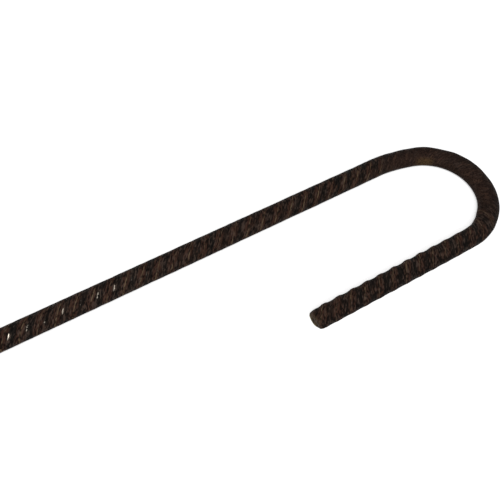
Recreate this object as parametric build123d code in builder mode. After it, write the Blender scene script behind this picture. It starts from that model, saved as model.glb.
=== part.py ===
"""Hooked reinforcing bar: a half-inch hot-rolled bar, bent back on itself at one end.

Millimetres, +Z up. The bar lies flat. Its shank runs along X with the hook at the +X end,
and the origin is on the floor, under the middle of the bar's box.
"""
from build123d import *
from math import cos, radians, sin
import os

os.makedirs("parts", exist_ok=True)

# Bar stock: the round that the ribs of a half-inch bar reach
bar_diameter = 13.7

# Lengths: tip of the shank to the outside of the hook, and the straight run after the bend
overall_length = 610.0
tail_length = 124.0

# Hook: the round that the bar is bent about, and how far the bar turns in all
hook_inside_diameter = 64.0
hook_turn = 180.0

# Lead-in: the wide arc in which the bar leaves the shank's line before it meets the round
lead_in_radius = 126.0
lead_in_turn = 16.5

# Shears leave the rim of each cut end rolled over, more on the tail than on the shank
shank_rim_radius = 1.0
tail_rim_radius = 1.4

bar_radius = bar_diameter / 2
hook_radius = hook_inside_diameter / 2 + bar_radius
radius_step = lead_in_radius - hook_radius
round_turn = hook_turn - lead_in_turn

# Where the bend starts: so far from the outside of the hook along X, and with the shank's
# line and the tail's line as far to either side of the X axis
bend_reach = radius_step * sin(radians(lead_in_turn)) + hook_radius + bar_radius
line_spacing = lead_in_radius - radius_step * cos(radians(lead_in_turn)) + hook_radius
shank_start = (-overall_length / 2, line_spacing / 2)
bend_start = (overall_length / 2 - bend_reach, line_spacing / 2)

with BuildPart() as hooked_bar:
    # The line down the middle of the bar, from the cut end of the shank to that of the tail
    with BuildLine(Plane.XY.offset(bar_radius)) as centre_line:
        shank = Line(shank_start, bend_start)
        lead_in = JernArc(shank @ 1, shank % 1, lead_in_radius, -lead_in_turn)
        bend = JernArc(lead_in @ 1, lead_in % 1, hook_radius, -round_turn)
        tail = PolarLine(bend @ 1, tail_length, direction=bend % 1)
    with BuildSketch(Plane(shank @ 0, z_dir=shank % 0)):
        Circle(bar_radius)
    sweep()

    # Rolled-over rims of the two cut ends
    cut_ends = hooked_bar.faces().filter_by(GeomType.PLANE)
    shank_end = cut_ends.sort_by_distance(shank @ 0)[0]
    tail_end = cut_ends.sort_by_distance(tail @ 1)[0]
    fillet(shank_end.edges(), shank_rim_radius)
    fillet(tail_end.edges(), tail_rim_radius)

hooked_bar.part.label = "hooked_bar"
export_step(hooked_bar.part, "parts/hooked_bar.step")
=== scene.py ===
"""Looks of the hooked reinforcing bar: its rolled ribs, its sheared ends and its mill scale.

The bar is modelled straight, one rib pitch at a time, and then bent along the line of the
hook. Sizes in the classes are millimetres, and every object is built in metres.
"""

import logging
from contextlib import contextmanager
from dataclasses import dataclass, field
from enum import Enum
from math import ceil, cos, floor, pi, radians, sin, tan
from typing import Callable, Iterator, NamedTuple

import bmesh
import bpy
import numpy as np
from mathutils import Matrix, Vector

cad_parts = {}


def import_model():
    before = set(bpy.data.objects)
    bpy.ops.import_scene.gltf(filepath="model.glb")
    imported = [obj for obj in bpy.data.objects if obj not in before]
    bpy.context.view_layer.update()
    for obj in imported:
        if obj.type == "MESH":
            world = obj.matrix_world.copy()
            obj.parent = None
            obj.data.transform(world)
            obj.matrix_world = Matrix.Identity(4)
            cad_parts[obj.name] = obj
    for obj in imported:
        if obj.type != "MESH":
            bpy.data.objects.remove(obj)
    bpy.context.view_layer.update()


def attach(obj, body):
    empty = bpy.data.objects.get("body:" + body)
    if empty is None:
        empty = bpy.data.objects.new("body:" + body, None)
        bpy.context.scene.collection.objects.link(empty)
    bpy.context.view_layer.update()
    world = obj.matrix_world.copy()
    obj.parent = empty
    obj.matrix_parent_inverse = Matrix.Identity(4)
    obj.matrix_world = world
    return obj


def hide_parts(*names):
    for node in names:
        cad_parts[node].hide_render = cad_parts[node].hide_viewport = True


log = logging.getLogger("hooked_bar")

MM = 0.001
# How near a point is to a place along the bar, and to the plane of a cut, to be at it, in metres
SAME_PLACE = 2e-6
ON_CUT = 1e-7
# The attribute with each point's place on the even bar
SKIN_MARK = "skin"
# A Mix node's sockets for two numbers and for two colours, which have the same names
NUMBER_A, NUMBER_B, COLOUR_A, COLOUR_B = 2, 3, 6, 7
COLOUR_RESULT = 2

Socket = bpy.types.NodeSocket
Span = tuple[float, float]


class BarEnd(Enum):
    """The two sheared ends, by the way each faces on the straight bar."""

    SHANK = -1
    TAIL = 1


class Ease(Enum):
    """How a share grows between two readings."""

    STEADY = "LINEAR"
    SOFT = "SMOOTHSTEP"


class Reading(Enum):
    """What the finish goes by at each point of the bar's skin."""

    # Shares that the bar carries on its points, under these names
    WORN = "worn"
    FACE = "sheared_face"
    CUT = "cut"
    RUBBED = "rubbed"
    # Noise, from fine to wide
    WORN_GRAIN = "worn_grain"
    GRAIN = "grain"
    FLECK = "fleck"
    FLAKES = "flakes"
    PATCHES = "patches"
    DRIFT = "drift"
    # Place on the even bar in metres: along it, towards the outside of the bend, and up
    ALONG = "along"
    OUTWARD = "outward"
    HEIGHT = "height"
    # How far a point stands out towards the strip of bright specks, in metres
    STRIP = "strip"
    # Distance in millimetres from each rib's crest, its line of painted highlight and its row of
    # specks
    OFF_CREST = "off_crest"
    OFF_HIGHLIGHT = "off_highlight"
    OFF_SPECKS = "off_specks"
    # Rib pitches along the bar, and the noise by which the lines beside the ribs stray
    PITCHES = "pitches"
    STRAY = "stray"
    # Shares of skin with its ribs whole and of skin pressed or sheared smooth, and the grain
    # that the soot follows, shifted so that painted shade darkens the side towards the outside
    # of the bend
    RIBBED = "ribbed"
    SMOOTH = "smooth"
    SOOT_AND_SHADE = "soot_and_shade"


def linear(colour: str) -> tuple[float, float, float, float]:
    """Turns an sRGB hex colour to linear light.

    Args:
        colour: Six hex digits after a hash.

    Returns:
        Linear red, green, blue and an alpha of 1.
    """
    parts = [int(colour[i : i + 2], 16) / 255 for i in (1, 3, 5)]
    r, g, b = (c / 12.92 if c <= 0.04045 else ((c + 0.055) / 1.055) ** 2.4 for c in parts)
    return r, g, b, 1.0


def add_node(
    tree: bpy.types.NodeTree, kind: str, sockets: dict | None = None, **settings: object
) -> bpy.types.Node:
    """Adds a node with its settings, values and links.

    Args:
        tree: The node tree that gets the node.
        kind: The node's type name.
        sockets: Value or output socket for each input, by its name or number.
        settings: Properties of the node.

    Returns:
        The new node.
    """
    node = tree.nodes.new(kind)
    for name, value in settings.items():
        setattr(node, name, value)
    for key, value in (sockets or {}).items():
        if isinstance(value, Socket):
            tree.links.new(value, node.inputs[key])
        else:
            node.inputs[key].default_value = value
    return node


def empty_tree(owner: bpy.types.Material | bpy.types.World) -> bpy.types.NodeTree:
    """Gives a material or a world a node tree with nothing in it.

    Args:
        owner: The material or world.

    Returns:
        Its node tree.
    """
    owner.use_nodes = True
    owner.node_tree.nodes.clear()
    return owner.node_tree


def looked_at(tree: bpy.types.NodeTree) -> Socket:
    """Adds a share that is 1 for what looks at a surface, straight or in a gloss, and else 0.

    Args:
        tree: The node tree of the surface.

    Returns:
        The share.
    """
    path = add_node(tree, "ShaderNodeLightPath").outputs
    either = {0: path["Is Camera Ray"], 1: path["Is Glossy Ray"]}
    return add_node(tree, "ShaderNodeMath", either, operation="MAXIMUM").outputs[0]


def add_object(name: str, data: bpy.types.ID) -> bpy.types.Object:
    """Adds an object to the scene.

    Args:
        name: Its name.
        data: Its camera, lamp or curve.

    Returns:
        The new object.
    """
    thing = bpy.data.objects.new(name, data)
    bpy.context.scene.collection.objects.link(thing)
    return thing


def select_alone(piece: bpy.types.Object) -> None:
    """Selects one object, and nothing else, and makes it the active one.

    Args:
        piece: The object.
    """
    bpy.ops.object.select_all(action="DESELECT")
    piece.select_set(True)
    bpy.context.view_layer.objects.active = piece


@contextmanager
def editing(piece: bpy.types.Object) -> Iterator[None]:
    """Opens a piece alone in edit mode, and closes it after the block.

    Args:
        piece: The mesh object to edit.

    Returns:
        An iterator for the with statement.
    """
    select_alone(piece)
    bpy.ops.object.mode_set(mode="EDIT")
    yield
    bpy.ops.object.mode_set(mode="OBJECT")


def pick(piece: bpy.types.Object, wanted: Callable[[Vector], bool]) -> None:
    """Selects the vertices of a piece in edit mode by their place.

    Args:
        piece: The mesh object in edit mode.
        wanted: Says whether the vertex at a point is selected.
    """
    bpy.ops.mesh.select_all(action="DESELECT")
    mesh = bmesh.from_edit_mesh(piece.data)
    for vertex in mesh.verts:
        vertex.select = wanted(vertex.co)
    mesh.select_flush_mode()
    bmesh.update_edit_mesh(piece.data)


def apply_modifier(piece: bpy.types.Object, kind: str, **settings: object) -> None:
    """Adds a modifier to a piece and applies it.

    Args:
        piece: The mesh object.
        kind: The modifier's type name.
        settings: Properties of the modifier.
    """
    modifier = piece.modifiers.new(kind.title(), kind)
    for name, value in settings.items():
        setattr(modifier, name, value)
    select_alone(piece)
    bpy.ops.object.modifier_apply(modifier=modifier.name)


def vertex_places(piece: bpy.types.Object) -> np.ndarray:
    """Reads the places of a piece's vertices.

    Args:
        piece: The mesh object.

    Returns:
        An array of one row for each vertex, in metres.
    """
    places = np.zeros(len(piece.data.vertices) * 3, np.float32)
    piece.data.vertices.foreach_get("co", places)
    return places.reshape(-1, 3).astype(float)


def move_vertices(piece: bpy.types.Object, places: np.ndarray) -> None:
    """Writes new places, in metres, to the vertices of a piece."""
    piece.data.vertices.foreach_set("co", places.astype(np.float32).ravel())
    piece.data.update()


def smooth_step(value: np.ndarray, low: float, high: float) -> np.ndarray:
    """Eases from 0 at low to 1 at high."""
    share = np.clip((value - low) / (high - low), 0, 1)
    return share * share * (3 - 2 * share)


def band(value: np.ndarray, rise: Span, fall: Span) -> np.ndarray:
    """Eases from 0 to 1 over one span of values, and back to 0 over another."""
    return smooth_step(value, *rise) * (1 - smooth_step(value, *fall))


def turned(side: np.ndarray, centre: float) -> np.ndarray:
    """Turns sides of the bar to degrees from one of them, each way."""
    return (side - centre + 180) % 360 - 180


def near(away: np.ndarray, spread: float, steepness: int = 2) -> np.ndarray:
    """Falls off smoothly from 1 with the distance from a place."""
    return np.exp(-((away / spread) ** steepness))


@dataclass(frozen=True)
class Blots:
    """Noise with blots of a real size, in millimetres, drawn out along the ribs by a factor."""

    size: float
    drawn: float = 1.0
    detail: float = 2.0
    roughness: float = 0.5


@dataclass(frozen=True)
class Course:
    """A line beside each rib: how far from its crest, how it slants, and how far it strays."""

    # Millimetres from the crest, and more for each millimetre towards the outside of the bend
    beside: float = 0.0
    slant: float = 0.0
    # Rib pitches for the whole range of the noise
    stray: float = 0.0


@dataclass(frozen=True)
class Fade:
    """How a share goes from one level to another as a reading of the skin goes from low to high."""

    reading: Reading
    low: float = 0.0
    high: float = 1.0
    share_low: float = 0.0
    share_high: float = 1.0
    ease: Ease = Ease.SOFT


@dataclass(frozen=True)
class Layer:
    """A colour over those before it, as strongly as all its fades together.

    As strongly as its turning fades, it turns to a second colour.
    """

    name: str
    colour: str
    fades: tuple[Fade, ...]
    second: str = ""
    turning: tuple[Fade, ...] = ()


class Step(NamedTuple):
    """One step of arithmetic: what it gives, its operation, and the readings that it takes."""

    gives: Reading
    operation: str
    takes: tuple[Reading | float, ...]


@dataclass(frozen=True)
class MillScale:
    """Black-brown oxide on hot-rolled carbon steel, lightly rusted.

    The rolls leave a blue-black oxide skin. It stays whole and nearly black between the ribs,
    rusts to a red brown where it cracked on their flanks, and has a painted highlight along the
    crests.
    """

    # To the eye it is dull and dark, broken into flecks and flakes that follow the ribs
    name: str = "hot rolled mill scale"
    valley: str = "#171310"
    bare_steel: str = "#958C80"
    # The real grain of the scale is too fine to show, so it is drawn as coarse as it needs to be
    blots: tuple[tuple[Reading, Blots], ...] = (
        (Reading.WORN_GRAIN, Blots(0.8, drawn=1.2)),
        (Reading.GRAIN, Blots(0.95, drawn=2.6)),
        (Reading.FLECK, Blots(1.4, drawn=2.8)),
        (Reading.FLAKES, Blots(2.8, drawn=2.2, detail=3.0, roughness=0.55)),
        (Reading.PATCHES, Blots(8.0, detail=3.0, roughness=0.55)),
        (Reading.DRIFT, Blots(32.0)),
    )
    courses: tuple[tuple[Reading, Course], ...] = (
        (Reading.OFF_CREST, Course(stray=0.22)),
        (Reading.OFF_HIGHLIGHT, Course(beside=0.9, slant=0.12, stray=0.055)),
        (Reading.OFF_SPECKS, Course(beside=4.0, stray=0.132)),
    )
    # How many millimetres the patches move the flanks' edges, and how the strip of specks leans
    ragged_edge: float = 2.6
    strip_lean: float = 0.58
    ribbed: tuple[Fade, ...] = (
        Fade(Reading.WORN, 0.1, 0.9, 1.0, 0.1),
        Fade(Reading.FACE, share_low=1.0, share_high=0.0, ease=Ease.STEADY),
    )
    # Painted shade: the side that faces the outside of the bend gets a little more of the soot
    # colour
    outer_painted_shade: tuple[Fade, ...] = (Fade(Reading.OUTWARD, -3.0 * MM, 6.0 * MM, 0.0, -0.06),)
    layers: tuple[Layer, ...] = (
        Layer(
            "cracked flank",
            "#39261E",
            (Fade(Reading.OFF_CREST, 5.1, 3.0), Fade(Reading.RIBBED, ease=Ease.STEADY)),
        ),
        Layer(
            "pressed skin",
            "#201613",
            (Fade(Reading.WORN, share_high=0.75, ease=Ease.STEADY),),
            # Painted shade: the pressed skin is darker towards the outside of the bend and lighter
            # towards the inside
            second="#33251F",
            turning=(Fade(Reading.OUTWARD, 1.0 * MM, -6.0 * MM),),
        ),
        Layer("sheared face", "#4A3B2A", (Fade(Reading.FACE, share_high=0.85, ease=Ease.STEADY),)),
        Layer("browner stretch", "#39261E", (Fade(Reading.DRIFT, 0.42, 0.62, 0.0, 0.25),)),
        Layer(
            "ash",
            "#483B34",
            (
                Fade(Reading.FLECK, 0.51, 0.61, 0.0, 0.7),
                Fade(Reading.WORN, share_low=1.0, share_high=0.45),
            ),
        ),
        Layer("rust", "#48342A", (Fade(Reading.FLAKES, 0.54, 0.66, 0.0, 0.6),)),
        Layer(
            "rubbed patch",
            "#523F2A",
            (Fade(Reading.RUBBED, ease=Ease.STEADY), Fade(Reading.FLAKES, 0.3, 0.5)),
        ),
        # Soot flecks, and painted shade: more of them on the side that faces the outside of the
        # bend
        Layer(
            "soot",
            "#080605",
            (
                Fade(Reading.SOOT_AND_SHADE, 0.54, 0.38, 0.0, 0.9),
                Fade(Reading.SMOOTH, share_low=1.0, share_high=0.75, ease=Ease.STEADY),
            ),
        ),
        # Painted highlight along each rib's crest, stronger on the side that faces the inside of
        # the bend
        Layer(
            "painted crest highlight",
            "#70604A",
            (
                Fade(Reading.OFF_HIGHLIGHT, 0.62, 0.2, 0.0, 0.6),
                Fade(Reading.RIBBED, ease=Ease.STEADY),
                Fade(Reading.GRAIN, 0.34, 0.56, 0.1, 1.0),
                Fade(Reading.PATCHES, 0.38, 0.56, 0.15, 1.0),
                Fade(Reading.OUTWARD, 3.0 * MM, -2.0 * MM, 0.35, 1.0),
            ),
        ),
        # Painted highlight on the tail's rim, from the inside of the bend round to under the bar
        Layer(
            "painted rim highlight",
            "#8C8058",
            (Fade(Reading.CUT, ease=Ease.STEADY), Fade(Reading.GRAIN, 0.35, 0.5, 0.4, 1.0)),
        ),
    )
    # Bright specks of steel where the scale came off, in a strip along the shank that starts
    # some way from the bend
    bare: tuple[Fade, ...] = (
        Fade(Reading.OFF_SPECKS, 0.46, 0.16),
        Fade(Reading.FLECK, 0.47, 0.53),
        Fade(Reading.RIBBED, 0.6, 1.0),
        Fade(Reading.STRIP, 7.12 * MM, 7.36 * MM),
        Fade(Reading.ALONG, -165.0 * MM, -195.0 * MM),
    )
    roughness: tuple[Fade, ...] = (Fade(Reading.GRAIN, 0.3, 0.7, 0.8, 0.56),)
    # How much less rough bare steel is than the scale
    bare_polish: float = 0.5
    specular: float = 0.04
    # Relief: how much higher the flakes stand than the grain, its depth, and its strength
    flake_height: float = 1.6
    relief_depth: float = 0.15
    relief_strength: float = 0.6

    def make(self, bar: "RibbedStock") -> bpy.types.Material:
        """Builds the material for a bar.

        Args:
            bar: The bar stock whose rib pitch the pattern follows.

        Returns:
            The material.
        """
        material = bpy.data.materials.new(self.name)
        tree = empty_tree(material)
        readings = self.read_skin(tree, bar)
        colour = linear(self.valley)
        for layer in self.layers:
            over = linear(layer.colour)
            if layer.second:
                turning = self.share(tree, readings, layer.turning)
                tones = {"Factor": turning, COLOUR_A: over, COLOUR_B: linear(layer.second)}
                toned = add_node(tree, "ShaderNodeMix", tones, data_type="RGBA")
                over = toned.outputs[COLOUR_RESULT]
            share = self.share(tree, readings, layer.fades)
            mixed = {"Factor": share, COLOUR_A: colour, COLOUR_B: over}
            node = add_node(tree, "ShaderNodeMix", mixed, data_type="RGBA", label=layer.name)
            colour = node.outputs[COLOUR_RESULT]

        bare = self.share(tree, readings, self.bare)
        mixed = {"Factor": bare, COLOUR_A: colour, COLOUR_B: linear(self.bare_steel)}
        node = add_node(tree, "ShaderNodeMix", mixed, data_type="RGBA", label="bare steel")
        rough = {0: bare, 1: -self.bare_polish, 2: self.share(tree, readings, self.roughness)}
        relief = {0: readings[Reading.FLAKES], 1: self.flake_height, 2: readings[Reading.GRAIN]}
        height = add_node(tree, "ShaderNodeMath", relief, operation="MULTIPLY_ADD").outputs[0]
        pits = add_node(
            tree,
            "ShaderNodeBump",
            {
                "Height": height,
                "Strength": self.relief_strength,
                "Distance": self.relief_depth * MM,
            },
        )
        shader = add_node(
            tree,
            "ShaderNodeBsdfPrincipled",
            {
                "Base Color": node.outputs[COLOUR_RESULT],
                "Metallic": bare,
                "Roughness": add_node(
                    tree, "ShaderNodeMath", rough, operation="MULTIPLY_ADD"
                ).outputs[0],
                "Specular IOR Level": self.specular,
                "Normal": pits.outputs["Normal"],
            },
        )
        add_node(tree, "ShaderNodeOutputMaterial", {"Surface": shader.outputs["BSDF"]})
        return material

    def read_skin(
        self, tree: bpy.types.NodeTree, bar: "RibbedStock"
    ) -> dict[Reading, Socket]:
        """Adds the nodes that read and work out all that the layers go by.

        Args:
            tree: The material's node tree.
            bar: The bar stock whose rib pitch the pattern follows.

        Returns:
            The output socket of each reading.
        """
        place = add_node(tree, "ShaderNodeAttribute", attribute_name=SKIN_MARK).outputs["Vector"]
        axes = add_node(tree, "ShaderNodeSeparateXYZ", {0: place}).outputs
        readings = dict(zip((Reading.ALONG, Reading.OUTWARD, Reading.HEIGHT), axes))
        for mark in (Reading.WORN, Reading.FACE, Reading.CUT, Reading.RUBBED):
            node = add_node(tree, "ShaderNodeAttribute", attribute_name=mark.value)
            readings[mark] = node.outputs["Fac"]
        for reading, blots in self.blots:
            scale = (1.0, 1 / blots.drawn, 1 / blots.drawn)
            drawn = add_node(tree, "ShaderNodeMapping", {"Vector": place, "Scale": scale})
            noise = {
                "Vector": drawn.outputs[0],
                "Scale": 1 / (blots.size * MM),
                "Detail": blots.detail,
                "Roughness": blots.roughness,
            }
            readings[reading] = add_node(tree, "ShaderNodeTexNoise", noise).outputs["Fac"]
        worn = {
            "Factor": readings[Reading.WORN],
            NUMBER_A: readings[Reading.GRAIN],
            NUMBER_B: readings[Reading.WORN_GRAIN],
        }
        readings[Reading.GRAIN] = add_node(tree, "ShaderNodeMix", worn).outputs[0]
        readings[Reading.RIBBED] = self.share(tree, readings, self.ribbed)
        # Painted shade: a shift that darkens the side facing the outside of the bend
        readings[Reading.SOOT_AND_SHADE] = self.share(tree, readings, self.outer_painted_shade)
        for gives, operation, takes in self.steps(bar):
            values = {number: readings.get(value, value) for number, value in enumerate(takes)}
            node = add_node(tree, "ShaderNodeMath", values, operation=operation)
            readings[gives] = node.outputs[0]
        return readings

    def steps(self, bar: "RibbedStock") -> list[Step]:
        """Lists the arithmetic on the readings, in order.

        Args:
            bar: The bar stock whose rib pitch the pattern follows.

        Returns:
            The steps.
        """
        pitch = bar.rib_pitch
        steps = [
            Step(Reading.SMOOTH, "MAXIMUM", (Reading.WORN, Reading.FACE)),
            Step(Reading.SOOT_AND_SHADE, "ADD", (Reading.GRAIN, Reading.SOOT_AND_SHADE)),
            Step(
                Reading.STRIP, "MULTIPLY_ADD", (Reading.OUTWARD, -self.strip_lean, Reading.HEIGHT)
            ),
            Step(Reading.STRAY, "SUBTRACT", (Reading.FLAKES, 0.5)),
            Step(Reading.PITCHES, "MULTIPLY_ADD", (Reading.ALONG, 1 / (pitch * MM), 0.5)),
        ]
        for off, course in self.courses:
            steps += [
                Step(off, "MULTIPLY_ADD", (Reading.STRAY, course.stray, Reading.PITCHES)),
                Step(off, "FRACT", (off,)),
                Step(off, "MULTIPLY_ADD", (off, pitch, -pitch / 2 - course.beside)),
                Step(off, "MULTIPLY_ADD", (Reading.OUTWARD, -course.slant / MM, off)),
                Step(off, "ABSOLUTE", (off,)),
            ]
        edge = (Reading.PATCHES, self.ragged_edge, Reading.OFF_CREST)
        return steps + [Step(Reading.OFF_CREST, "MULTIPLY_ADD", edge)]

    def share(
        self,
        tree: bpy.types.NodeTree,
        readings: dict[Reading, Socket],
        fades: tuple[Fade, ...],
    ) -> Socket:
        """Adds the product of some fades.

        Args:
            tree: The material's node tree.
            readings: The output socket of each reading.
            fades: The fades, one or more.

        Returns:
            The share.
        """
        product = None
        for fade in fades:
            levels = {
                "Value": readings[fade.reading],
                "From Min": fade.low,
                "From Max": fade.high,
                "To Min": fade.share_low,
                "To Max": fade.share_high,
            }
            level = add_node(
                tree, "ShaderNodeMapRange", levels, interpolation_type=fade.ease.value
            ).outputs["Result"]
            if product is not None:
                both = {0: product, 1: level}
                level = add_node(tree, "ShaderNodeMath", both, operation="MULTIPLY").outputs[0]
            product = level
        return product


@dataclass(frozen=True)
class PaleFloor:
    """Matt white paper, which the camera sees as plain white with the bar's soft shadow."""

    # To the eye it is even, without gloss or grain
    name: str = "matt white paper"
    paper: str = "#E2E2E2"
    lift: float = 0.52
    far_lift: float = 0.95
    # How far from the bar the lift starts to grow and is full, in millimetres
    near_reach: float = 250.0
    far_reach: float = 900.0

    def make(self) -> bpy.types.Material:
        """Builds the material, lifted to white for what looks at it and not for its light.

        Returns:
            The material.
        """
        material = bpy.data.materials.new(self.name)
        tree = empty_tree(material)
        paper = {"Color": linear(self.paper), "Roughness": 1.0}
        matt = add_node(tree, "ShaderNodeBsdfDiffuse", paper)
        spot = add_node(tree, "ShaderNodeTexCoord").outputs["Object"]
        away = add_node(tree, "ShaderNodeVectorMath", {0: spot}, operation="LENGTH")
        level = add_node(
            tree,
            "ShaderNodeMapRange",
            {
                "Value": away.outputs["Value"],
                "From Min": self.near_reach * MM,
                "From Max": self.far_reach * MM,
                "To Min": self.lift,
                "To Max": self.far_lift,
            },
        )
        lifted = {0: looked_at(tree), 1: level.outputs["Result"]}
        strength = add_node(tree, "ShaderNodeMath", lifted, operation="MULTIPLY").outputs[0]
        glow = add_node(tree, "ShaderNodeEmission", {"Strength": strength})
        both = add_node(tree, "ShaderNodeAddShader", {0: matt.outputs[0], 1: glow.outputs[0]})
        add_node(tree, "ShaderNodeOutputMaterial", {"Surface": both.outputs[0]})
        return material


@dataclass
class RibbedStock:
    """Straight half-inch deformed bar: a round core, two long ribs and slanted cross ribs."""

    core_radius: float = 6.42
    rib_height: float = 0.6
    long_rib_height: float = 0.43
    rib_pitch: float = 11.14
    # Distance from the crest and the share of the rib's height there
    rib_profile: tuple[Span, ...] = (
        (0.0, 1.0),
        (0.7, 0.97),
        (1.4, 0.84),
        (2.1, 0.6),
        (2.9, 0.3),
        (3.7, 0.08),
        (4.6, 0.0),
    )
    # How far a rib leans along the bar, each way, and the side where it stands at its own place
    rib_lean: float = 4.95
    rib_lean_side: float = 114.0
    long_rib_side: float = 28.125
    sides: int = 64
    # From and to how many sides off the middle of a long rib, and the share of the height there,
    # for a long rib and for the cross ribs that run out beside it
    long_rib_rounding: tuple[tuple[int, int, float], ...] = ((0, 1, 1.0), (2, 2, 0.5))
    cross_rib_ends: tuple[tuple[int, int, float], ...] = ((5, 64, 1.0), (4, 4, 0.85), (3, 3, 0.45))
    # How near two points are when two pitches join in them
    weld: float = 0.01

    @property
    def lean(self) -> Span:
        """How far a rib moves along the bar for each step of Y and of Z."""
        share = self.rib_lean / (self.core_radius + self.rib_height)
        return share * sin(radians(self.rib_lean_side)), -share * cos(radians(self.rib_lean_side))

    def ring_step(self, point: Vector) -> int:
        """Counts the sides between a point of the ring and the nearer long rib.

        Args:
            point: A point of the straight bar, in metres.

        Returns:
            The number of sides, 0 on the long rib itself.
        """
        side = np.degrees(np.arctan2(point.z, point.y)) - self.long_rib_side
        away = abs((side + 90) % 180 - 90)
        return round(away * self.sides / 360)

    def stations(self) -> list[Span]:
        """Lists the places where one pitch has a ring.

        Returns:
            Each place, from the middle of a valley to that of the next, and the rib's share there.
        """
        rising = [(-place, share) for place, share in reversed(self.rib_profile[1:])]
        half = self.rib_pitch / 2
        return [(-half, 0.0)] + rising + list(self.rib_profile) + [(half, 0.0)]

    def pick_ring(self, piece: bpy.types.Object, along: float, first: int, last: int) -> None:
        """Selects the points of a ring from first to last, in sides off the nearer long rib."""
        pick(
            piece,
            lambda p: abs(p.x - along * MM) < SAME_PLACE and first <= self.ring_step(p) <= last,
        )

    def draw_out(self, reach: float) -> None:
        """Extrudes what is selected along the bar."""
        bpy.ops.mesh.extrude_edges_move(TRANSFORM_OT_translate={"value": (reach * MM, 0, 0)})

    def swell(self, old: float, new: float, along: float) -> None:
        """Resizes what is selected from an old to a new radius, at its place along the bar."""
        scale = (1, new / old, new / old)
        bpy.ops.transform.resize(value=scale, center_override=(along * MM, 0, 0))

    def one_pitch(self) -> bpy.types.Object:
        """Draws out one rib pitch from a ring of the core.

        Returns:
            An open tube with one cross rib in its middle and both long ribs.
        """
        bpy.ops.object.select_all(action="DESELECT")
        steps = self.stations()
        start, core = steps[0][0], self.core_radius
        bpy.ops.mesh.primitive_circle_add(
            vertices=self.sides,
            radius=core * MM,
            location=(start * MM, 0, 0),
            rotation=(0, pi / 2, 0),
            enter_editmode=False,
        )
        piece = bpy.context.object
        piece.name = "ribbed_bar"
        bpy.ops.object.transform_apply(location=True, rotation=True, scale=True)
        with editing(piece):
            for first, last, share in self.long_rib_rounding:
                self.pick_ring(piece, start, first, last)
                self.swell(core, core + share * self.long_rib_height, start)
            for (before, low), (here, high) in zip(steps, steps[1:]):
                self.pick_ring(piece, before, 0, self.sides)
                self.draw_out(here - before)
                if low == high:
                    continue
                for first, last, share in self.cross_rib_ends:
                    self.pick_ring(piece, here, first, last)
                    height = share * self.rib_height
                    self.swell(core + low * height, core + high * height, here)
        return piece

    def run(self, start: float, end: float, crest: float) -> bpy.types.Object:
        """Makes a straight run of bar with its ribs leaning.

        Args:
            start: Where the run starts, along X.
            end: Where it ends.
            crest: Where one of its ribs stands.

        Returns:
            An open tube that covers the run, and a little more at each end.
        """
        piece = self.one_pitch()
        spare = 2 * self.rib_lean
        first = floor((start - spare - crest) / self.rib_pitch)
        count = ceil((end + spare - crest) / self.rib_pitch) - first + 1
        apply_modifier(
            piece,
            "ARRAY",
            count=count,
            use_relative_offset=False,
            use_constant_offset=True,
            constant_offset_displace=(self.rib_pitch * MM, 0, 0),
            use_merge_vertices=True,
            merge_threshold=self.weld * MM,
        )
        piece.data.transform(Matrix.Translation(((crest + first * self.rib_pitch) * MM, 0, 0)))
        shear = Matrix.Identity(4)
        shear[0][1], shear[0][2] = self.lean
        piece.data.transform(shear)
        return piece


class Knot(NamedTuple):
    """A point of the bar's middle line, its heading in radians and the reach of its handles."""

    spot: Vector
    heading: float
    before: float
    after: float


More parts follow.
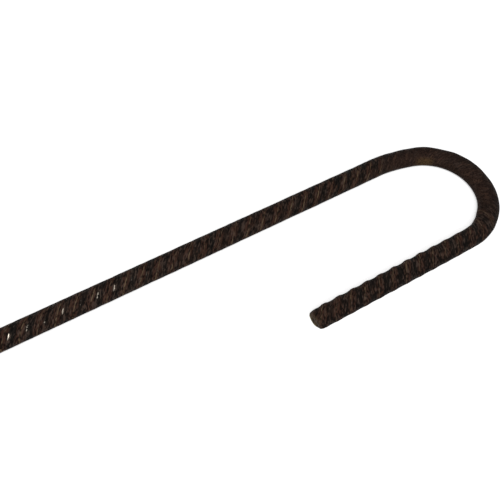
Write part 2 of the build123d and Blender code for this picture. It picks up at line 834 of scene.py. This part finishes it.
@dataclass
class HookedBar:
    """The whole bar: ribbed stock sheared at both ends and bent into a hook.

    On the straight bar X runs from the bend's start towards the tail. A side of it is in
    degrees round that line: 0 faces the outside of the bend, 90 up and 180 the inside.
    """

    stock: RibbedStock = field(default_factory=RibbedStock)
    finish: MillScale = field(default_factory=MillScale)
    overall_length: float = 610.0
    tail_length: float = 124.0
    hook_inside_diameter: float = 64.0
    hook_turn: float = 180.0
    lead_in_radius: float = 126.0
    lead_in_turn: float = 16.5
    # Pieces of curve in the arc round the hook, and the steps in each piece of the middle line
    arc_pieces: int = 4
    line_steps: int = 64
    # Ribs past the bend's start stand a little closer, as the bar is measured on its middle line
    hook_stretch: float = 0.968
    crest: float = -3.9
    shank_rim: float = 1.0
    tail_rim: float = 1.4
    rim_steps: int = 4
    # Rings on a sheared face, each as a share of its radius
    face_rings: tuple[float, ...] = (0.75, 0.5, 0.25)
    # The skin's unevenness, the size of its bumps, and the level of the noise that moves nothing
    unevenness: float = 0.35
    unevenness_size: float = 5.0
    unevenness_middle: float = 0.2
    # How far the middle of the bend bows outwards, and where the bow starts and ends
    outward_bow: float = 0.35
    bow_rise: Span = (-5.0, 15.0)
    bow_fall: Span = (80.0, 105.0)
    # How far the tail is set outwards, and over what length past the bend's end
    tail_set: float = 0.2
    tail_set_rise: Span = (0.0, 20.0)
    # The pin and the form that the bar was bent between pressed its ribs by this share, and wore
    # its skin: from the bend's start, and until a place measured from the bend's end
    pressed_share: float = 0.75
    pressed_rise: Span = (-4.0, 22.0)
    pressed_fall: Span = (-6.0, 40.0)
    worn_fall: Span = (-46.0, 4.0)
    # The skin under the bar is flatter: its side, its width in degrees, its height over the
    # core, and the share by which it comes down to that
    under_side: float = 300.0
    under_width: Span = (42.0, 75.0)
    under_height: float = 0.3
    under_share: float = 0.65
    # Bulges on the inside of the bend: how far past its start, half their length, and height
    bulges: tuple[tuple[float, float, float], ...] = ((44.0, 20.0, 0.45), (121.0, 12.0, 0.9))
    bulge_side: float = 180.0
    bulge_width: float = 48.0
    # Dents on the outside of the bend: how far past its start, half their length, and depth
    dents: tuple[tuple[float, float, float], ...] = (
        (22.0, 4.0, 0.25),
        (35.0, 4.0, 0.25),
        (56.0, 6.0, 0.5),
        (90.0, 5.0, 0.3),
        (125.0, 5.0, 0.25),
    )
    dent_side: float = 50.0
    dent_width: float = 45.0
    # Where the shears dragged the tail's skin down: the share, over what length, side and width
    drags: tuple[tuple[float, float, float, float], ...] = (
        (0.14, 4.0, 325.0, 40.0),
        (0.04, 2.5, 155.0, 34.0),
    )
    # How far the tail's face was left standing out, and its waves: height, side and width
    burr_length: float = 1.5
    burr_waves: tuple[tuple[float, float, float], ...] = ((0.2, 190.0, 40.0), (-0.7, 330.0, 45.0))
    # How deep the look of a sheared face reaches, as a share of the end's rim
    face_depth: float = 0.3
    # The tail's rim with a painted highlight: from and to what share of its rim, how far in
    # from the bar's outside, and between which sides
    rim_highlight_depth: Span = (0.75, 0.2)
    rim_highlight_width: Span = (3.4, 2.2)
    rim_highlight_rise: Span = (180.0, 205.0)
    rim_highlight_fall: Span = (285.0, 308.0)
    # The rubbed patch on the inside of the bend: how far past its start, half its length, how
    # steep its edges are, and between which sides
    rubbed_place: float = 43.5
    rubbed_length: float = 7.5
    rubbed_steepness: int = 4
    rubbed_rise: Span = (130.0, 165.0)
    rubbed_fall: Span = (225.0, 260.0)

    @property
    def radius(self) -> float:
        """The bar's radius over its long ribs, at which it lies on the floor."""
        return self.stock.core_radius + self.stock.long_rib_height

    @property
    def hook_radius(self) -> float:
        """The radius of the bar's middle line round the hook."""
        return self.hook_inside_diameter / 2 + self.radius

    @property
    def round_turn(self) -> float:
        """How far the bar turns round the hook itself, after its lead-in, in degrees."""
        return self.hook_turn - self.lead_in_turn

    @property
    def bend_end(self) -> float:
        """How far past its start the bend ends, both arcs added."""
        lead_in = self.lead_in_radius * radians(self.lead_in_turn)
        return lead_in + self.hook_radius * radians(self.round_turn)

    @property
    def bend_start(self) -> Span:
        """Where the shank ends and the bend starts.

        Returns:
            X and Y.
        """
        step = self.lead_in_radius - self.hook_radius
        turn = radians(self.lead_in_turn)
        reach = step * sin(turn) + self.hook_radius + self.radius
        spacing = self.lead_in_radius - step * cos(turn) + self.hook_radius
        return self.overall_length / 2 - reach, spacing / 2

    @property
    def shank_length(self) -> float:
        """The length of the straight shank."""
        return self.overall_length / 2 + self.bend_start[0]

    @property
    def hook_length(self) -> float:
        """The length past the bend's start: both arcs and the tail."""
        return self.bend_end + self.tail_length

    def past_bend(self, span: Span) -> Span:
        """Turns places measured from the bend's end to places measured from its start."""
        return self.bend_end + span[0], self.bend_end + span[1]

    def make(self) -> bpy.types.Object:
        """Builds the bar in the place of its CAD solid.

        Returns:
            The finished piece.
        """
        piece = self.stock.run(-self.shank_length, self.hook_length / self.hook_stretch, self.crest)
        self.draw_together(piece)
        for end in BarEnd:
            self.shear_off(piece, end)
        self.wear(piece)
        self.bend(piece)
        self.dress(piece)
        return piece

    def draw_together(self, piece: bpy.types.Object) -> None:
        """Brings the ribs past the bend's start closer together.

        Args:
            piece: The straight bar.
        """
        with editing(piece):
            pick(piece, lambda p: p.x > 0)
            bpy.ops.transform.resize(value=(self.hook_stretch, 1, 1), center_override=(0, 0, 0))

    def shear_off(self, piece: bpy.types.Object, end: BarEnd) -> None:
        """Cuts one end square, rolls its rim over and closes it.

        Args:
            piece: The straight bar.
            end: The end to cut.
        """
        rim = self.shank_rim if end is BarEnd.SHANK else self.tail_rim
        tip = -self.shank_length if end is BarEnd.SHANK else self.hook_length
        way = end.value
        along, size = tip - way * rim, self.radius
        with editing(piece):
            bpy.ops.mesh.select_all(action="SELECT")
            bpy.ops.mesh.bisect(
                plane_co=(along * MM, 0, 0),
                plane_no=(way, 0, 0),
                clear_outer=True,
                threshold=ON_CUT,
            )
            pick(piece, lambda p: abs(p.x - along * MM) < SAME_PLACE)
            for step in range(1, self.rim_steps + 1):
                turn = step / self.rim_steps * pi / 2
                there = tip - way * rim * (1 - sin(turn))
                smaller = self.radius - rim * (1 - cos(turn))
                self.stock.draw_out(there - along)
                self.stock.swell(size, smaller, there)
                along, size = there, smaller
            for share in self.face_rings:
                smaller = (self.radius - rim) * share
                self.stock.draw_out(0)
                self.stock.swell(size, smaller, along)
                size = smaller
            bpy.ops.mesh.merge(type="CENTER")
            bpy.ops.mesh.select_all(action="SELECT")
            bpy.ops.mesh.normals_make_consistent(inside=False)

    def wear(self, piece: bpy.types.Object) -> None:
        """Gives the straight bar its uneven skin, its pressed bend, its sheared tail and its marks.

        Args:
            piece: The straight bar, sheared at both ends.
        """
        self.lay_skin(piece)
        uneven = bpy.data.textures.new("mill_unevenness", "CLOUDS")
        uneven.noise_scale = self.unevenness_size * MM
        apply_modifier(
            piece,
            "DISPLACE",
            texture=uneven,
            strength=self.unevenness * MM,
            mid_level=self.unevenness_middle,
            texture_coords="LOCAL",
        )
        places = vertex_places(piece)
        along = places[:, 0] / MM
        out = np.hypot(places[:, 1], places[:, 2]) / MM
        side = np.degrees(np.arctan2(places[:, 2], places[:, 1])) % 360
        new = self.worn_radius(along, side, out)
        # The point in the middle of a face has no radius to divide by
        places[:, 1:] *= (new / np.maximum(out, 1e-3))[:, None]
        bow = self.outward_bow * band(along, self.bow_rise, self.bow_fall)
        tail_set = self.tail_set * smooth_step(along, *self.past_bend(self.tail_set_rise))
        places[:, 1] += (bow + tail_set) * MM
        places[:, 0] += self.burr(along, side) * MM
        places[:, 2] = np.maximum(places[:, 2], -self.radius * MM)
        move_vertices(piece, places)
        self.mark_skin(piece, along, side, new)

    def lay_skin(self, piece: bpy.types.Object) -> None:
        """Writes to each point its place on the even bar, from a crest, with the ribs upright.

        Args:
            piece: The straight bar.
        """
        skin = vertex_places(piece)
        lean_y, lean_z = self.stock.lean
        lean = lean_y * skin[:, 1] + lean_z * skin[:, 2]
        along = np.where(skin[:, 0] > 0, skin[:, 0] / self.hook_stretch, skin[:, 0])
        skin[:, 0] = along - self.crest * MM - lean
        layer = piece.data.attributes.new(SKIN_MARK, "FLOAT_VECTOR", "POINT")
        layer.data.foreach_set("vector", skin.astype(np.float32).ravel())

    def worn_radius(self, along: np.ndarray, side: np.ndarray, out: np.ndarray) -> np.ndarray:
        """Works out how far each point stands from the middle of the worn bar.

        Args:
            along: Each point's place along the bar.
            side: Its side in degrees.
            out: How far it stood out so far.

        Returns:
            How far each point stands out now.
        """
        tip = self.hook_length
        inside = (along > -self.shank_length + self.shank_rim) & (along < tip - self.tail_rim)
        pressed = band(along, self.pressed_rise, self.past_bend(self.pressed_fall))
        new = np.where(inside, out + (self.radius - out) * self.pressed_share * pressed, out)
        under = 1 - smooth_step(np.abs(turned(side, self.under_side)), *self.under_width)
        flat = self.stock.core_radius + self.under_height
        new = np.where(inside, new + (flat - new) * self.under_share * under, new)
        for place, length, height in self.bulges:
            round_about = near(turned(side, self.bulge_side), self.bulge_width)
            new += height * near(along - place, length) * round_about
        for place, length, depth in self.dents:
            round_about = near(turned(side, self.dent_side), self.dent_width)
            new -= depth * near(along - place, length) * round_about
        for share, length, place, width in self.drags:
            round_about = near(turned(side, place), width)
            new *= 1 - share * smooth_step(along, tip - length, tip) * round_about
        return new

    def burr(self, along: np.ndarray, side: np.ndarray) -> np.ndarray:
        """Works out how far the shears left the tail's face standing out.

        Args:
            along: Each point's place along the bar.
            side: Its side in degrees.

        Returns:
            How far each point moves along the bar.
        """
        ragged = self.burr_length
        for height, place, width in self.burr_waves:
            ragged = ragged + height * near(turned(side, place), width)
        return ragged * smooth_step(along, self.hook_length - self.tail_rim, self.hook_length)

    def mark_skin(
        self, piece: bpy.types.Object, along: np.ndarray, side: np.ndarray, out: np.ndarray
    ) -> None:
        """Writes to each point how far its skin is sheared, worn and rubbed, and its painted rim
        highlight.

        Args:
            piece: The straight bar.
            along: Each point's place along the bar.
            side: Its side in degrees.
            out: How far it stands from the bar's middle.
        """
        tip, rim, shank = self.hook_length, self.tail_rim, self.shank_length
        tail_face = smooth_step(along, tip - self.face_depth * rim, tip)
        shank_face = smooth_step(-along, shank - self.face_depth * self.shank_rim, shank)
        # The share of the tail's rim that gets the painted highlight
        deep, shallow = self.rim_highlight_depth
        wide, narrow = self.rim_highlight_width
        cut = smooth_step(along, tip - deep * rim, tip - shallow * rim)
        cut *= smooth_step(out, self.radius - wide, self.radius - narrow)
        cut *= band(side, self.rim_highlight_rise, self.rim_highlight_fall)
        rubbed = near(along - self.rubbed_place, self.rubbed_length, self.rubbed_steepness)
        rubbed *= band(side, self.rubbed_rise, self.rubbed_fall)
        for mark, amount in (
            (Reading.FACE, np.maximum(tail_face, shank_face)),
            (Reading.WORN, band(along, self.pressed_rise, self.past_bend(self.worn_fall))),
            (Reading.CUT, cut),
            (Reading.RUBBED, rubbed),
        ):
            layer = piece.data.attributes.new(mark.value, "FLOAT", "POINT")
            layer.data.foreach_set("value", amount.astype(np.float32))

    def bend(self, piece: bpy.types.Object) -> None:
        """Bends the straight bar along the line of the shank, the hook and the tail.

        Args:
            piece: The straight bar.
        """
        line = self.centre_line()
        piece.data.transform(Matrix.Translation((self.shank_length * MM, 0, 0)))
        apply_modifier(piece, "CURVE", object=line, deform_axis="POS_X")
        bpy.data.objects.remove(line)

    def knots(self) -> list[Knot]:
        """Works out the points of the bar's middle line, with the handles that make its arcs.

        Returns:
            The points, from the cut end of the shank to that of the tail.
        """
        x, y = self.bend_start
        reach_in, heading = self.shank_length / 3, 0.0
        knots = [Knot(Vector((-self.overall_length / 2, y)), heading, 0.0, reach_in)]
        point = Vector((x, y))
        arcs = [(self.lead_in_radius, self.lead_in_turn)]
        arcs += [(self.hook_radius, self.round_turn / self.arc_pieces)] * self.arc_pieces
        for radius, degrees in arcs:
            turn = radians(degrees)
            reach_out = radius * 4 / 3 * tan(turn / 4)
            knots.append(Knot(point.copy(), heading, reach_in, reach_out))
            middle = point + radius * Vector((sin(heading), -cos(heading)))
            heading -= turn
            point = middle - radius * Vector((sin(heading), -cos(heading)))
            reach_in = reach_out
        tail_reach = self.tail_length / 3
        knots.append(Knot(point.copy(), heading, reach_in, tail_reach))
        tail_end = point + self.tail_length * Vector((cos(heading), sin(heading)))
        return knots + [Knot(tail_end, heading, tail_reach, 0.0)]

    def centre_line(self) -> bpy.types.Object:
        """Draws the bar's middle line as a curve.

        Returns:
            A curve object with one open spline.
        """
        curve = bpy.data.curves.new("middle_line", "CURVE")
        curve.dimensions = "3D"
        curve.twist_mode = "Z_UP"
        curve.resolution_u = self.line_steps
        spline = curve.splines.new("BEZIER")
        knots = self.knots()
        spline.bezier_points.add(len(knots) - 1)
        for point, knot in zip(spline.bezier_points, knots):
            ahead = Vector((cos(knot.heading), sin(knot.heading)))
            point.handle_left_type = point.handle_right_type = "FREE"
            point.co = self.lifted(knot.spot)
            point.handle_left = self.lifted(knot.spot - knot.before * ahead)
            point.handle_right = self.lifted(knot.spot + knot.after * ahead)
        return add_object("middle_line", curve)

    def lifted(self, spot: Vector) -> Vector:
        """Turns a spot on the plan to a point at the height of the bar's middle, in metres."""
        return Vector((spot.x, spot.y, self.radius)) * MM

    def dress(self, piece: bpy.types.Object) -> None:
        """Smooths the bar's shading and gives it its finish.

        Args:
            piece: The bent bar.
        """
        select_alone(piece)
        bpy.ops.object.shade_smooth()
        piece.data.materials.clear()
        piece.data.materials.append(self.finish.make(self.stock))


@dataclass(frozen=True)
class Lamp:
    """A square lamp: its name, its place, its width, and its power in watts."""

    name: str
    place: tuple[float, float, float]
    size: float
    power: float


@dataclass
class Studio:
    """A white paper floor, soft light from above and the photograph's camera."""

    floor_size: float = 6000.0
    floor_drop: float = 0.05
    floor_finish: PaleFloor = field(default_factory=PaleFloor)
    camera_place: tuple[float, float, float] = (40.189, -127.527, 294.802)
    camera_aim: tuple[float, float, float] = (0.24837, 0.4496, -0.85801)
    camera_range: Span = (10.0, 50000.0)
    lens: float = 36.0
    sensor: float = 36.0
    sky: float = 0.26
    lamp_aim: tuple[float, float, float] = (50.0, 0.0, 0.0)
    lamps: tuple[Lamp, ...] = (
        Lamp("soft_box", (-450.0, -750.0, 1250.0), 1100.0, 12.0),
        Lamp("small_lamp", (-100.0, -240.0, 640.0), 24.0, 1.3),
    )

    def floor(self) -> bpy.types.Object:
        """Lays the floor a hair under the bar's lowest point.

        Returns:
            The floor.
        """
        bpy.ops.object.select_all(action="DESELECT")
        bpy.ops.mesh.primitive_plane_add(
            size=self.floor_size * MM, location=(0, 0, -self.floor_drop * MM)
        )
        floor = bpy.context.object
        floor.name = "paper_floor"
        floor.data.materials.append(self.floor_finish.make())
        return floor

    def camera(self) -> bpy.types.Object:
        """Places the camera as the photograph was taken.

        Returns:
            The camera.
        """
        data = bpy.data.cameras.new("photo_camera")
        data.lens, data.sensor_width = self.lens, self.sensor
        data.clip_start, data.clip_end = (reach * MM for reach in self.camera_range)
        camera = add_object("photo_camera", data)
        camera.location = Vector(self.camera_place) * MM
        camera.rotation_euler = Vector(self.camera_aim).to_track_quat("-Z", "Y").to_euler()
        return camera

    def lights(self) -> None:
        """Hangs one wide soft lamp over the bar, and a small one that catches the rib crests."""
        for lamp in self.lamps:
            data = bpy.data.lights.new(lamp.name, "AREA")
            data.energy, data.size = lamp.power, lamp.size * MM
            hung = add_object(lamp.name, data)
            hung.location = Vector(lamp.place) * MM
            aim = Vector(self.lamp_aim) * MM - hung.location
            hung.rotation_euler = aim.to_track_quat("-Z", "Y").to_euler()

    def backdrop(self) -> None:
        """Lights the room softly, and shows what looks at it a plain white."""
        world = bpy.data.worlds.new("white_room")
        bpy.context.scene.world = world
        tree = empty_tree(world)
        sky = {"Value": looked_at(tree), "To Min": self.sky, "To Max": 1.0}
        level = add_node(tree, "ShaderNodeMapRange", sky).outputs["Result"]
        white = {"Color": (1, 1, 1, 1), "Strength": level}
        glow = add_node(tree, "ShaderNodeBackground", white)
        add_node(tree, "ShaderNodeOutputWorld", {"Surface": glow.outputs[0]})

    def set_up(self) -> bpy.types.Object:
        """Builds the studio and makes its camera the scene's.

        Returns:
            The floor.
        """
        self.lights()
        self.backdrop()
        bpy.context.scene.camera = self.camera()
        bpy.context.scene.view_settings.view_transform = "Standard"
        return self.floor()


def main() -> None:
    """Builds the bar and the studio, and reports each piece."""
    logging.basicConfig(level=logging.INFO, format="%(name)s: %(message)s")
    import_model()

    bar = HookedBar().make()
    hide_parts("hooked_bar")
    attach(bar, "root")
    floor = Studio().set_up()

    for piece in (bar, floor):
        triangles = sum(len(p.vertices) - 2 for p in piece.data.polygons)
        log.info("%s: %d triangles", piece.name, triangles)


if __name__ == "__main__":
    main()
